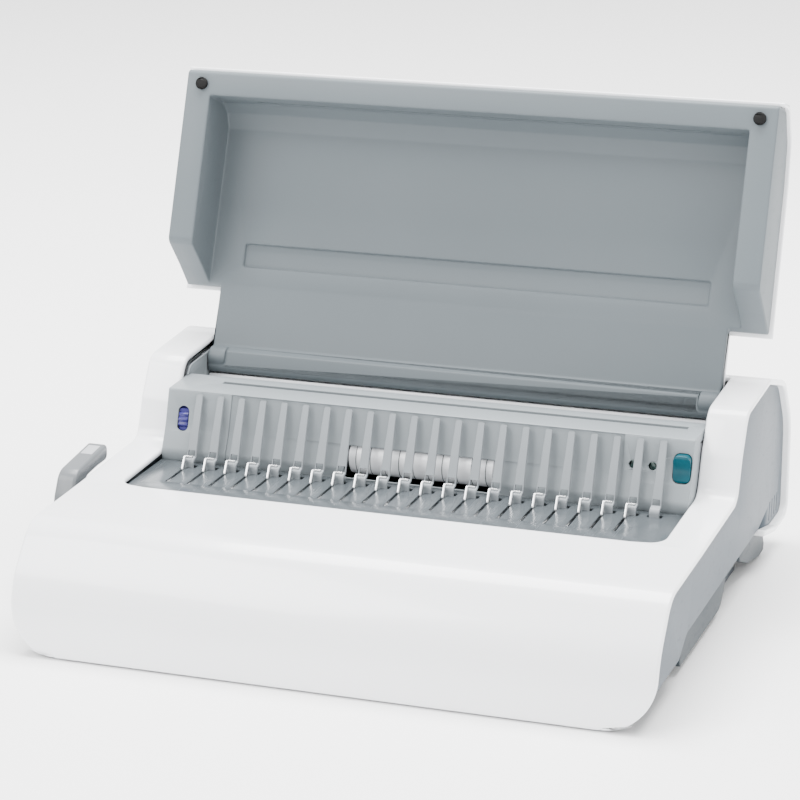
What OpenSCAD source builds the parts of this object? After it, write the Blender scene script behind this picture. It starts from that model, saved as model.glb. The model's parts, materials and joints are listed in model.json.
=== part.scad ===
// Electric comb binding machine: punch, comb opener and hinged lid.
// Modelled with its lid open. X runs along the comb, Y to the rear, Z up, millimetres.

/* [Comb] */
// Distance from one comb ring to the next
comb_pitch = 14.2875; // [14.2:0.0125:14.3]
// Number of rings that the hooks open
ring_count = 21; // [19:1:21]
// How far the hooks pull the rings open
hook_travel = 22; // [18:0.5:22]

/* [Body] */
// Width of the white cover and the lid
body_w = 392; // [388:1:400]
// Clear width between the two towers
notch_w = 342; // [340:1:344]
// Wall thickness of the white cover
cover_t = 4; // [3:0.5:5]
// Height of the deck that the comb lies over
deck_z = 70; // [69:0.5:70.5]

/* [Lid] */
// Angle from closed to fully open
lid_open = 112; // [95:1:112]
// Thickness of the white skin
skin_t = 2.5; // [2:0.25:2.5]

/* [Lever] */
// Swing of the comb lever, from rest to hooks fully forward
lever_swing = 90; // [80:1:90]

/* [Punch] */
// Length of one punched hole along the paper's edge
punch_w = 8; // [7:0.5:8]
// Height of one punched hole
punch_h = 3; // [2.5:0.25:3]
// Travel of the punch pins
punch_stroke = 8; // [7:0.5:8]

/* [Chip tray] */
// Length of the drawer that catches the paper chips
tray_l = 250; // [200:10:250]

/* [Hidden] */
$fn = 48;

// Main stations, front to rear
front_y = -165;
rear_y = 179.5;
deck_front_y = -56;
deck_rear_y = 7.5;
notch_rear_y = 109;
foot_h = 2;
lip_z = 1.3;

// Half widths
body_x = body_w / 2;
notch_x = notch_w / 2;
panel_x = body_x - 7.5;
panel_t = 3;
frame_x = notch_x + 1.5;
frame_t = 2;
lid_neck_x = notch_x - 1.9;

// Lever, which sets how far the part reaches to the left
lever_gap = 5;
lever_t = 13;
lever_out_x = body_x + lever_gap + lever_t;
pivot_y = -52;
pivot_z = 45;
lever_shaft_r = 5;

// The part's origin is under the middle of its bounding box
centre_x = (body_x - lever_out_x) / 2;
centre_y = (front_y + rear_y) / 2;

// Lid hinge
hinge_y = 88;
hinge_z = 115;
hinge_pin_r = 3;
hinge_play = 0.05;
lever_bush_t = 2;
drive_bush_t = 2.5;

// Punch unit
punch_z = 86;
throat_y = 43;
throat_gap = 2.4;
die_front_t = 6;
die_rear_t = 8;
die_x = 162;
pin_play = 0.1;
bar_y = 72;
bar_t = 12;
drive_y = 93;
drive_z = 66;
drive_r = 5;
cam_low = 8;
cam_w = 6;
cam_xs = [-140, -60, 20, 110];

// Gears, module in millimetres
gear_module = 1;
cam_teeth = 48;
motor_teeth = 12;
lever_teeth = round(360 * hook_travel / (PI * lever_swing));
gear_angle = 20;
addendum = 0.8;
dedendum = 1.15;
tooth_share = 0.44;
motor_angle = -50;
motor_shaft_r = 2;
cam_pitch_r = cam_teeth * gear_module / 2;
motor_pitch_r = motor_teeth * gear_module / 2;
lever_pitch_r = lever_teeth * gear_module / 2;
motor_y = drive_y + (cam_pitch_r + motor_pitch_r) * cos(motor_angle);
motor_z = drive_z + (cam_pitch_r + motor_pitch_r) * sin(motor_angle);

// Thumbwheel that moves the edge guide, and the scale roller in its window
wheel_y = 29;
wheel_z = 91.1;
wheel_shaft_r = 3;
wheel_x = -159;
wheel_r = 13.6;
wheel_opening_z = 95;
roller_y = 24.5;
roller_z = 80;
roller_r = 11;
roller_l = 94;
axle_r = 2.5;
window_w = 97;
window_h = 19;
window_z = 79.5;
lamp_xs = [134, 146];
lamp_z = 95.3;

// Comb row
tine_w = 6.2;
tine_tip_w = 4.2;
tine_t = 1.6;
tine_shift = 2.4;
leg_w = 1.4;
slot_w = 2;
slot_rear_y = -3;
slot_front_y = slot_rear_y - hook_travel - 8;
slider_z = 62.5;
slider_t = 2;
rack_xs = [-120, 120];
rack_w = 8;

// Chip tray
tray_front_y = -72;
tray_rear_y = 40;
tray_z = 5;
tray_h = 22;
tray_x1 = 187;

tine_xs = [for (i = [0:ring_count]) tine_shift + comb_pitch * (i - ring_count / 2)];
ring_xs = [for (i = [0:ring_count - 1]) tine_shift + comb_pitch * (i + 0.5 - ring_count / 2)];

// Colours
white = [0.95, 0.96, 0.97];
panel_grey = [0.65, 0.69, 0.73];
base_grey = [0.5, 0.55, 0.58];
deck_grey = [0.64, 0.67, 0.69];
light_grey = [0.7, 0.73, 0.74];
silver = [0.8, 0.81, 0.82];
steel = [0.6, 0.62, 0.64];
brass = [0.78, 0.65, 0.35];

// ---- outlines: corners [y, z, radius], counter-clockwise seen from +X ----

function unit(v) = v / norm(v);
function xy(p) = [p[0], p[1]];
function arc_points(m, r, a0, a1, steps) =
    [for (i = [0:steps]) let (a = a0 + (a1 - a0) * i / steps) m + r * [cos(a), sin(a)]];
function corner_arc(a, b, c, r, steps) =
    let (
        u = unit(a - b),
        v = unit(c - b),
        half = acos(u * v) / 2,
        middle = b + unit(u + v) * r / sin(half),
        from = b + u * r / tan(half) - middle,
        to = b + v * r / tan(half) - middle,
        a0 = atan2(from[1], from[0]),
        turn = (atan2(to[1], to[0]) - a0 + 540) % 360 - 180
    )
    arc_points(middle, r, a0, a0 + turn, steps);
function rounded(pts, steps = 6) =
    let (n = len(pts))
    [for (i = [0:n - 1])
        each pts[i][2] <= 0 ? [xy(pts[i])]
            : corner_arc(xy(pts[(i + n - 1) % n]), xy(pts[i]), xy(pts[(i + 1) % n]),
                         pts[i][2], steps)];

// An open path moved sideways to its left by t, each radius changed to match
function left_of(v) = [-v[1], v[0]];
function moved_corner(a, b, c, r, t) =
    let (
        before = unit(b - a),
        after = unit(c - b),
        out = unit(left_of(before) + left_of(after)),
        turn = before[0] * after[1] - before[1] * after[0],
        p = b + out * t / (out * left_of(after))
    )
    [p[0], p[1], r <= 0 ? 0 : max(0.5, r - sign(turn) * t)];
function moved_path(pts, t) =
    let (n = len(pts))
    [for (i = [0:n - 1])
        let (
            b = xy(pts[i]),
            a = i == 0 ? 2 * b - xy(pts[1]) : xy(pts[i - 1]),
            c = i == n - 1 ? 2 * b - xy(pts[n - 2]) : xy(pts[i + 1])
        )
        moved_corner(a, b, c, pts[i][2], t)];
function reversed(pts) = [for (i = [len(pts) - 1:-1:0]) pts[i]];
function ribbon(pts, t) = concat(pts, reversed(moved_path(pts, t)));

// Outside of the white cover, from under the rear, over the towers, to the front lip
cover_path = [
    [108, 25, 0], [140, 17.5, 20], [177.5, 17, 12], [rear_y, 82, 36], [158, 113.5, 22],
    [112, 127.5, 30], [50, 124.5, 14], [35, 100, 30], [25.5, 76.3, 10], [-60, 73.6, 60],
    [-130, 72.2, 26], [-155.5, 43, 50], [front_y, lip_z, 0]
];

// Bottom edge of a side panel, from the front to the rear, arched over the tray
panel_foot_z = 18;
arch_z = 28;
panel_foot = [
    [-156.8, panel_foot_z, 3], [-92, panel_foot_z, 6], [-74, arch_z, 12], [106, arch_z + 1.6, 12]
];

// Outside of the closed lid's skin, from the hinge end to the front lip
skin_path = [
    [101, 114, 0], [101, 125.5, 5], [44, 124.8, 60], [-50, 121, 60], [-78, 115.5, 18],
    [-97.5, 99, 9], [-96, 83, 0]
];
rim_z = 76.2;
ceiling_z = 114.8;
tray_side = [
    [-92.9, rim_z, 3], [19, rim_z + 1.2, 6], [31.5, 101, 30], [43.5, 121, 2], [-50, 117.6, 60],
    [-76.5, 112.6, 16], [-94.2, 98, 7]
];
tray_neck = [
    [-40, ceiling_z, 0], [80, ceiling_z, 0], [84, 109.5, 2], [97.5, 109.5, 4], [97.5, 122, 4],
    [44, 121.4, 60], [-40, 117.7, 0]
];

// ---- placing ----

module placed() {
    translate([-centre_x, -centre_y, 0]) children();
}

module both_sides() {
    children();
    mirror([1, 0, 0]) children();
}

// Sweeps a Y-Z outline along X, from x0 to x1
module along_x(pts, x0, x1) {
    translate([x0, 0, 0]) rotate([90, 0, 90]) linear_extrude(x1 - x0) polygon(pts);
}

module span(low, high) {
    translate(low) cube(high - low);
}

module rod(r, x0, x1, y, z) {
    translate([x0, y, z]) rotate([0, 90, 0]) cylinder(r = r, h = x1 - x0);
}

// A rod along Y
module peg(r, x, y0, y1, z) {
    translate([x, y1, z]) rotate([90, 0, 0]) cylinder(r = r, h = y1 - y0);
}

// A block along Y, w wide and h high, with corners of radius r
module rounded_slot(w, h, r, x, y0, y1, z) {
    corners = [[-w / 2, -h / 2, r], [w / 2, -h / 2, r], [w / 2, h / 2, r], [-w / 2, h / 2, r]];
    translate([x, y1, z]) rotate([90, 0, 0]) linear_extrude(y1 - y0) polygon(rounded(corners));
}

module opened_lid() {
    translate([0, hinge_y, hinge_z]) rotate([-lid_open, 0, 0])
        translate([0, -hinge_y, -hinge_z]) children();
}

// ---- gears ----

function inv(a) = tan(a) * 180 / PI - a;
function tooth_half(r, pitch_r) =
    let (base = pitch_r * cos(gear_angle), rr = max(r, base))
    tooth_share * 90 * gear_module / pitch_r + inv(gear_angle) - inv(acos(base / rr));
function gear_points(teeth) =
    let (
        pr = teeth * gear_module / 2,
        radii = [pr - dedendum * gear_module, pr * cos(gear_angle) + 0.05,
                 pr, pr + addendum * gear_module],
        rs = [for (r = radii) max(r, radii[0])]
    )
    [for (i = [0:teeth - 1]) let (m = i * 360 / teeth)
        each concat(
            [for (k = [0:3]) let (a = m - tooth_half(rs[k], pr)) rs[k] * [cos(a), sin(a)]],
            [for (k = [3:-1:0]) let (a = m + tooth_half(rs[k], pr)) rs[k] * [cos(a), sin(a)]]
        )];

module gear(teeth, bore_r, x0, x1, y, z, phase) {
    translate([x0, y, z]) rotate([90, 0, 90]) linear_extrude(x1 - x0) difference() {
        rotate(phase) polygon(gear_points(teeth));
        circle(bore_r);
    }
}

// ---- casings ----

// Plan of the opening over the deck and between the towers, w wide and round in front
module notch_plan(w, y0, y1) {
    r = 12;
    polygon(rounded([[-w / 2, y0, r], [w / 2, y0, r], [w / 2, y1, 0], [-w / 2, y1, 0]]));
}

// What rounds off one lower corner of the apron
module apron_corner() {
    r = 30;
    difference() {
        span([body_x - r, front_y - 1, 0], [body_x + 1, -120, lip_z + r]);
        peg(r, body_x - r, front_y - 2, -119, lip_z + r);
    }
}

module top_cover() {
    color(white) placed() difference() {
        along_x(rounded(ribbon(cover_path, cover_t)), -body_x, body_x);
        translate([0, 0, deck_z - 20]) linear_extrude(100)
            notch_plan(notch_w, deck_front_y, notch_rear_y);
        both_sides() apron_corner();
        // the base fills the underside between the rear corners
        span([-base_rear_x - 1, 100, 0], [base_rear_x + 1, 158, 32]);
        span([inlet_x - 12.1, 165, rear_z - 10.1], [inlet_x + 12.1, 190, rear_z + 10.1]);
        span([switch_x - 7.6, 165, rear_z - 10.6], [switch_x + 7.6, 190, rear_z + 10.6]);
    }
}

module side_panel() {
    top = moved_path(cover_path, cover_t + 0.2);
    edge = [for (i = [1:len(top) - 2]) top[i]];
    along_x(rounded(concat(edge, panel_foot)), 0, panel_t);
}

module side_panel_left() {
    color(panel_grey) placed() difference() {
        translate([-panel_x - panel_t, 0, 0]) side_panel();
        rod(lever_shaft_r + 0.6, -panel_x - panel_t - 1, -panel_x + 1, pivot_y, pivot_z);
    }
}

module side_panel_right() {
    vent_count = 4;
    vent_step = 7;
    color(panel_grey) placed() difference() {
        translate([panel_x, 0, 0]) side_panel();
        for (i = [0:vent_count - 1])
            translate([panel_x - 1, 138 + i * vent_step, 25]) rotate([-8, 0, 0])
                cube([panel_t + 2, 1.4, 12]);
    }
}

base_x = 178;
base_rear_x = 168;
module base_shell() {
    step_y = 104;
    bulge = [
        [76, 24.5, 0], [78, 18, 6], [102, 8.5, 20], [132, foot_h, 12], [150, foot_h, 4],
        [144, 14, 8], [139, 17, 0], [108, 24.5, 0]
    ];
    color(base_grey) placed() difference() {
        union() {
            difference() {
                union() {
                    span([-base_x, -150, foot_h], [base_x, step_y, 24]);
                    span([-base_rear_x, step_y - 1, foot_h], [base_rear_x, 156, 30]);
                }
                span([-base_x + 3, -147, foot_h + 2.5], [base_x - 3, step_y - 3, 40]);
                span([-base_rear_x + 3, step_y - 4, foot_h + 2.5], [base_rear_x - 3, 153, 40]);
            }
            both_sides() along_x(rounded(bulge), base_x - 1.5, base_x + 9);
            for (x = [-150, 150], y = [-110, 125])
                translate([x, y, foot_h + 2]) cylinder(r = 5, h = 22);
        }
        span([base_x - 40, tray_front_y - 1, tray_z - 1.2], [base_x + 1, tray_rear_y + 1, 30]);
        for (x = [-150, 150], y = [-110, 125])
            translate([x, y, foot_h - 1]) cylinder(r = 1.6, h = 30);
    }
}

module rubber_feet() {
    color([0.1, 0.1, 0.1]) placed() for (x = [-160, 160], y = [-135, 138])
        translate([x, y, 0]) difference() {
            cylinder(r = 9, h = foot_h);
            translate([0, 0, -1]) cylinder(r = 3, h = foot_h + 2);
        }
}

module cover_screws() {
    color(steel) placed() for (x = [-150, 150], y = [-110, 125])
        translate([x, y, foot_h - 0.4]) {
            cylinder(r = 3.2, h = 0.4);
            cylinder(r = 1.55, h = 18);
        }
}

// ---- deck and fascia ----

module deck_plate() {
    deck_t = 2;
    color(deck_grey) placed() translate([0, 0, deck_z - deck_t]) linear_extrude(deck_t)
        difference() {
            notch_plan(notch_w - 1.2, deck_front_y + 0.6, deck_rear_y);
            for (i = [0:ring_count - 1])
                translate([hook_x(i) - slot_w / 2, slot_front_y])
                    square([slot_w, slot_rear_y - slot_front_y]);
            for (x = tine_xs) translate([x - 4.6, -3.2]) square([9.2, 5]);
        }
}

function hook_x(i) = tine_xs[i] - 2;

// Cove wall: from the deck's rear edge, up the curve, and back over the paper slot
fascia_front = [[deck_rear_y + 0.4, deck_z - 2, 0], [deck_rear_y + 0.4, 76, 8], [15, 90, 60],
                [22, 112.5, 1.5]];
plate_rear_y = 54.5;
module fascia() {
    half = notch_x - 0.4;
    wall = 2.2;
    top_z = 113;
    top_rear_y = plate_rear_y;
    front = concat([[top_rear_y, top_z, 0]], reversed(fascia_front));
    recess = concat(reversed(moved_path(fascia_front, -1)), [[0, 60, 0], [0, 115, 0]]);
    slot_half = 2.2;
    end_cap = concat(fascia_front, [[46, 112.8, 0], [46, 107, 0], [35.4, 107, 0],
                                    [35.4, deck_z - 2, 0]]);
    color(light_grey) placed() difference() {
        union() {
            along_x(rounded(ribbon(front, wall)), -half, half);
            both_sides() along_x(rounded(end_cap), half - 1, half);
        }
        // shallow recess behind the fingers
        along_x(rounded(recess), -127.5, 127.5);
        // scale window
        rounded_slot(window_w, window_h, 2, 0, 0, 40, window_z);
        // thumbwheel, with room behind the wall, then button and lamps
        rounded_slot(7.4, 15.4, 3.6, wheel_x, 0, 30, wheel_opening_z);
        rod(wheel_r + 0.5, wheel_x - 3.7, wheel_x + 3.7, wheel_y, wheel_z);
        rounded_slot(button_w + 0.8, button_h + 0.8, 4, button_x, 0, 40, button_z);
        for (x = lamp_xs) peg(2.5, x, 0, 40, lamp_z);
        // paper slot
        span([-142, throat_y - slot_half, top_z - 5], [161, throat_y + slot_half, top_z + 5]);
    }
}

module rear_trough() {
    floor_z = 94;
    wall = 2;
    front = plate_rear_y + 0.4;
    rear = notch_rear_y - 0.2;
    cheek_x = notch_x - 0.3;
    cheek_t = 1.2;
    cheek = [
        [front, floor_z, 0], [rear, floor_z, 0], [rear, 121, 6], [55, 118.5, 6], [46, 109, 2],
        [front, 108.2, 0]
    ];
    color(light_grey) placed() difference() {
        union() {
            span([-cheek_x, front, floor_z], [cheek_x, rear, floor_z + wall]);
            span([-cheek_x, front, floor_z], [cheek_x, front + wall, 112]);
            span([-cheek_x, rear - wall, floor_z], [cheek_x, rear, 119]);
            both_sides() along_x(rounded(cheek), cheek_x - cheek_t, cheek_x);
        }
        both_sides() rod(hinge_pin_r + 0.3, cheek_x - 5, cheek_x + 1, hinge_y, hinge_z);
        // the fascia's top plate passes inside the cheeks' front corners
        span([-cheek_x - 1, 40, 100], [cheek_x + 1, plate_rear_y + 0.3, 113.2]);
    }
}

// ---- comb row ----

// One tine seen from +X: tab through the deck, short shelf, then the long finger
tine_path = [[-1.4, 60, 0], [-1.4, 73.2, 1.8], [2.8, 74.4, 2.2], [19.4, 111, 0]];

module comb_tines() {
    bed_z = [60, 61.6];
    color(silver) placed() {
        span([-frame_x, -1.4, bed_z[0]], [frame_x, 16, bed_z[1]]);
        for (x = tine_xs) difference() {
            along_x(rounded(ribbon(reversed(tine_path), tine_t)), x - tine_w / 2, x + tine_w / 2);
            for (s = [-1, 1]) tine_taper(x, s);
            span([x - 1.9, 2.4, 75.3], [x + 1.9, 7, 78.6]);
        }
    }
}

// What is cut off one side of a tine so that it narrows towards its tip
module tine_taper(x, s) {
    w0 = tine_w / 2;
    w1 = tine_tip_w / 2;
    pts = [[w0, 78], [w0 + 2, 78], [w0 + 2, 114], [w1 - 1.3, 114], [w1 - 0.8, 110.6],
           [w1, 109]];
    translate([x, 40, 0]) mirror([s < 0 ? 1 : 0, 0, 0]) rotate([90, 0, 0])
        linear_extrude(60) polygon(pts);
}

module hook_slider() {
    rack_y = [pivot_y - 8, pivot_y + 32];
    foot = [[-8.8, slider_z + 1, 0], [-6.6, slider_z + 1, 0], [-6.6, deck_z, 1],
            [-1.9, 76.2, 0], [-1.9, 77.6, 0], [-4.4, 77.6, 1], [-8.8, deck_z + 0.6, 2]];
    bar = [[-3.4, 76.2], [-1.9, 76.2], [-1.9, 77.6], [-3.4, 77.6]];
    color([0.85, 0.86, 0.87]) placed() {
        difference() {
            span([-163, pivot_y - 8, slider_z], [163, -3.2, slider_z + slider_t]);
            for (x = [-100:50:100]) span([x - 15, -50, slider_z - 1], [x + 15, -20, slider_z + 5]);
        }
        for (i = [0:ring_count - 1]) {
            along_x(rounded(foot), hook_x(i) - leg_w / 2, hook_x(i) + leg_w / 2);
            along_x(bar, hook_x(i) - leg_w / 2, hook_x(i) + leg_w / 2 + 4.2);
        }
        for (x = rack_xs)
            translate([x - rack_w / 2, 0, 0]) rotate([90, 0, 90]) linear_extrude(rack_w)
                polygon(rack_points(rack_y[0], rack_y[1]));
    }
}

// Rack with its teeth down and a gap straight above the lever's shaft
function rack_points(y0, y1) =
    let (
        pitch = PI * gear_module,
        line_z = pivot_z + lever_pitch_r,
        first = ceil((y0 - pivot_y) / pitch),
        last = floor((y1 - pivot_y) / pitch) - 1,
        root = dedendum * gear_module,
        tip = addendum * gear_module,
        w = tooth_share * pitch / 2
    )
    concat(
        [[y0, slider_z + 0.5], [y0, line_z + root]],
        [for (i = [first:last]) let (m = pivot_y + (i + 0.5) * pitch)
            each [[m - w - root * tan(gear_angle), line_z + root],
                  [m - w + tip * tan(gear_angle), line_z - tip],
                  [m + w - tip * tan(gear_angle), line_z - tip],
                  [m + w + root * tan(gear_angle), line_z + root]]],
        [[y1, line_z + root], [y1, slider_z + 0.5]]
    );

module slider_guides() {
    ends = [-92, -3];
    color(steel) placed() both_sides() {
        span([frame_x - 15, ends[0], slider_z - 2.4], [frame_x, ends[1], slider_z - 0.4]);
        span([frame_x - 3, ends[0], slider_z - 0.5], [frame_x, ends[1], slider_z + 3]);
    }
}

// ---- comb lever ----

lever_x1 = -body_x - lever_gap;
pad_inset = 2.5;
pad_floor = [[-25, 78.6], [-12, 80]];
module comb_lever() {
    arm = [
        [pivot_y - 12, pivot_z + 2, 8], [pivot_y + 2, pivot_z - 11, 9], [pivot_y + 12, pivot_z, 8],
        [-42, 62, 8], [-38, 69, 6], [-22, 70.6, 20], [-6.5, 71, 4], [-6.5, 81.5, 3],
        [-52, 76.5, 12], [-60, 62, 14]
    ];
    pad_cut = concat(pad_floor, [[-12, 90], [-25, 90]]);
    color([0.68, 0.69, 0.71]) placed() difference() {
        along_x(rounded(arm), -lever_out_x, lever_x1);
        along_x(pad_cut, -lever_out_x + pad_inset, lever_x1 - pad_inset);
        rod(lever_shaft_r, -lever_out_x - 1, 0, pivot_y, pivot_z);
    }
}

module lever_pad() {
    pad = concat(pad_floor, [[-12, 81.1], [-25, 79.7]]);
    color([0.83, 0.84, 0.85]) placed()
        along_x(pad, -lever_out_x + pad_inset, lever_x1 - pad_inset);
}

module lever_shaft() {
    color(steel) placed() {
        rod(lever_shaft_r, -lever_out_x, frame_x + frame_t + 3, pivot_y, pivot_z);
    }
}

module lever_pinions() {
    color(brass) placed() for (x = rack_xs)
        gear(lever_teeth, lever_shaft_r, x - rack_w / 2, x + rack_w / 2, pivot_y, pivot_z, 90);
}

// ---- punch unit ----

module side_frame() {
    plate = [
        [-92, foot_h + 2.5, 4], [98, foot_h + 2.5, 4], [98, 36, 6], [112, 60, 20], [104, 119, 10],
        [60, 119, 14], [44, 100, 14], [32, 66, 8], [-92, 66, 4]
    ];
    difference() {
        along_x(rounded(plate), 0, frame_t);
        rod(lever_shaft_r + lever_bush_t, -1, frame_t + 1, pivot_y, pivot_z);
        rod(drive_r + drive_bush_t, -1, frame_t + 1, drive_y, drive_z);
        rod(hinge_pin_r, -1, frame_t + 1, hinge_y, hinge_z);
    }
}

module side_frame_left() {
    color(steel) placed() translate([-frame_x - frame_t, 0, 0]) side_frame();
}

module side_frame_right() {
    color(steel) placed() difference() {
        translate([frame_x, 0, 0]) side_frame();
        span([frame_x - 1, tray_front_y - 3, 0], [frame_x + frame_t + 1, tray_rear_y + 3, 31]);
    }
}

module bush(shaft_r, wall, x, y, z) {
    difference() {
        union() {
            rod(shaft_r + wall, x, x + frame_t, y, z);
            rod(shaft_r + wall + 1.5, x + frame_t, x + frame_t + 1.5, y, z);
        }
        rod(shaft_r + hinge_play, x - 1, x + frame_t + 3, y, z);
    }
}

module shaft_bushes() {
    color(brass) placed() both_sides() {
        bush(lever_shaft_r, lever_bush_t, frame_x, pivot_y, pivot_z);
        bush(drive_r, drive_bush_t, frame_x, drive_y, drive_z);
    }
}

// Front and rear die plates with the paper throat between them
module die_block() {
    low = punch_z - 12;
    high = 106;
    throat_floor = punch_z - punch_h / 2 - 3;
    front = throat_y - throat_gap / 2 - die_front_t;
    rear = throat_y + throat_gap / 2 + die_rear_t;
    color(steel) placed() difference() {
        span([-frame_x, front, low], [frame_x, rear, high]);
        span([-die_x, throat_y - throat_gap / 2, throat_floor],
             [die_x, throat_y + throat_gap / 2, high + 1]);
        for (x = ring_xs)
            span([x - punch_w / 2 - pin_play, front - 1, punch_z - punch_h / 2 - pin_play],
                 [x + punch_w / 2 + pin_play, rear + 1, punch_z + punch_h / 2 + pin_play]);
        // the ends stay clear of the towers
        both_sides() span([notch_x - 0.5, front - 1, punch_z], [frame_x + 1, rear + 1, high + 1]);
        // room for the thumbwheel
        span([-frame_x - 1, front - 1, low - 1], [-154, throat_y, high + 1]);
    }
}

module punch_pins() {
    tip_y = throat_y + throat_gap / 2 + 0.8;
    color(silver) placed() for (x = ring_xs)
        span([x - punch_w / 2, tip_y, punch_z - punch_h / 2], [x + punch_w / 2, bar_y, punch_z + punch_h / 2]);
}

module punch_bar() {
    color(steel) placed() difference() {
        span([-152, bar_y, 56], [152, bar_y + bar_t, 92]);
        for (x = [-100, -20, 65]) span([x - 22, bar_y - 1, 60], [x + 22, bar_y + bar_t + 1, 76]);
    }
}

function cam_r(a) =
    cam_low + punch_stroke * (a <= 180 ? (180 - a) / 180 : pow((a - 180) / 180, 4));

module punch_cams() {
    color(brass) placed() for (x = cam_xs)
        translate([x - cam_w / 2, drive_y, drive_z]) rotate([90, 0, 90])
            linear_extrude(cam_w) difference() {
                polygon([for (a = [0:6:354]) cam_r(a) * [cos(a), sin(a)]]);
                circle(drive_r);
            }
}

module cam_shaft() {
    color(steel) placed()
        rod(drive_r, -frame_x - frame_t - 3, frame_x + frame_t + 3, drive_y, drive_z);
}

gear_x = [157, 163];
module cam_gear() {
    color(brass) placed()
        gear(cam_teeth, drive_r, gear_x[0], gear_x[1], drive_y, drive_z,
             motor_angle + 180 / cam_teeth);
}

module motor_pinion() {
    color(steel) placed() union() {
        gear(motor_teeth, 0.01, gear_x[0] - 1, gear_x[1] + 1, motor_y, motor_z, motor_angle + 180);
        rod(motor_shaft_r, 146, gear_x[0], motor_y, motor_z);
    }
}

module drive_motor() {
    color([0.3, 0.32, 0.34]) placed() difference() {
        union() {
            rod(13, 74, 132, motor_y, motor_z);
            span([132, motor_y - 13, motor_z - 14], [152, motor_y + 15, motor_z + 13]);
            span([136, motor_y - 6, foot_h + 2.5], [148, motor_y + 8, motor_z - 13]);
        }
        rod(motor_shaft_r + hinge_play, 145, 153, motor_y, motor_z);
    }
}

// ---- edge guide and scale roller ----

module wheel_shaft() {
    color(steel) placed() rod(wheel_shaft_r, -168, -129, wheel_y, wheel_z);
}

// Ears that carry the thumbwheel's shaft and the roller's axle, fixed to the die block
module shaft_brackets() {
    rear = throat_y - throat_gap / 2 - die_front_t;
    color(steel) placed() difference() {
        union() {
            span([-166.5, 23, 73], [-130, rear, 75]);
            for (x = [-166.5, -153, -132]) span([x, 23, 73], [x + 2, rear, 97]);
            both_sides() span([roller_l / 2 + 2.5, 19, 74], [roller_l / 2 + 4.5, rear, 87]);
        }
        rod(wheel_shaft_r + hinge_play, -168, -129, wheel_y, wheel_z);
        rod(axle_r + hinge_play, -60, 60, roller_y, roller_z);
    }
}

module thumbwheel() {
    ridges = 24;
    w = 6.4;
    depth = 1.1;
    ridge = [[0, 0], [0.25, 0.35], [0.5, 1], [0.75, 0.35]];
    color([0.37, 0.35, 0.7]) placed() translate([wheel_x - w / 2, wheel_y, wheel_z])
        rotate([90, 0, 90]) linear_extrude(w) difference() {
            polygon([for (i = [0:ridges - 1], k = ridge)
                let (a = (i + k[0]) * 360 / ridges)
                (wheel_r - depth * k[1]) * [cos(a), sin(a)]]);
            circle(wheel_shaft_r);
        }
}

module roller_axle() {
    color(steel) placed() rod(axle_r, -roller_l / 2 - 7, roller_l / 2 + 7, roller_y, roller_z);
}

module scale_roller() {
    color(white) placed() difference() {
        rod(roller_r, -roller_l / 2, roller_l / 2, roller_y, roller_z);
        rod(axle_r, -roller_l, roller_l, roller_y, roller_z);
    }
}

module edge_guide() {
    nut = [-145, -139];
    color(deck_grey) placed() difference() {
        union() {
            span([nut[0], wheel_y - 5, wheel_z - 5], [nut[1], wheel_y + 6, 109.6]);
            span([nut[0], wheel_y, 106.8], [nut[0] + 3, throat_y + 0.8, 109.6]);
        }
        rod(wheel_shaft_r + 0.4, nut[0] - 1, nut[1] + 1, wheel_y, wheel_z);
    }
}

// ---- controls ----

button_x = 164.2;
button_z = 95.5;
button_w = 10.6;
button_h = 16.9;
module punch_button() {
    face_y = 14.2;
    hollow_r = 20;
    color([0, 0.5, 0.58]) placed() union() {
        difference() {
            rounded_slot(button_w, button_h, 3.6, button_x, face_y, 24, button_z);
            rod(hollow_r, button_x - button_w, button_x + button_w, face_y + 1.2 - hollow_r, button_z);
        }
        rounded_slot(button_w, button_h + 2.5, 3.6, button_x, 24, 25.5, button_z);
        peg(2, button_x, 25.5, 28.5, button_z);
    }
}

module button_switch() {
    color([0.12, 0.12, 0.13]) placed() union() {
        span([button_x - 5, 32, button_z - 5], [button_x + 5, 35, button_z + 5]);
        peg(1.7, button_x, 30.8, 32, button_z);
    }
}

module lamp_lenses() {
    color([0.05, 0.1, 0.09]) placed() for (x = lamp_xs) {
        peg(2.45, x, 16.4, 24, lamp_z);
        peg(3.4, x, 22.4, 24, lamp_z);
    }
}

module control_board() {
    color([0.1, 0.35, 0.2]) placed() union() {
        span([124, 35, 76.5], [168.4, 35.4, 104]);
        for (x = lamp_xs) peg(2.4, x, 26, 35, lamp_z);
    }
}

module power_board() {
    color([0.1, 0.35, 0.2]) placed() union() {
        span([-140, 108, 12], [-60, 150, 13.6]);
        span([-138, 112, 13.6], [-112, 144, 38]);
        for (y = [118, 134]) translate([-90, y, 13.6]) cylinder(r = 6, h = 20);
        for (x = [-136, -64], y = [112, 146]) translate([x, y, foot_h + 2.5]) cylinder(r = 3, h = 7.5);
    }
}

switch_x = -96;
inlet_x = -120;
rear_z = 45;
rocker_y = 171.5;
rocker_pin_r = 1.2;
module power_switch() {
    rocker = [[168.5, rear_z - 8], [177.6, rear_z - 8.4], [179.2, rear_z - 8], [177.4, rear_z],
              [178.4, rear_z + 8], [168.5, rear_z + 8]];
    color([0.08, 0.08, 0.08]) placed() {
        along_x(rocker, switch_x - 5.5, switch_x + 5.5);
        rod(rocker_pin_r, switch_x - 6.8, switch_x + 6.8, rocker_y, rear_z);
    }
}

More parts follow.
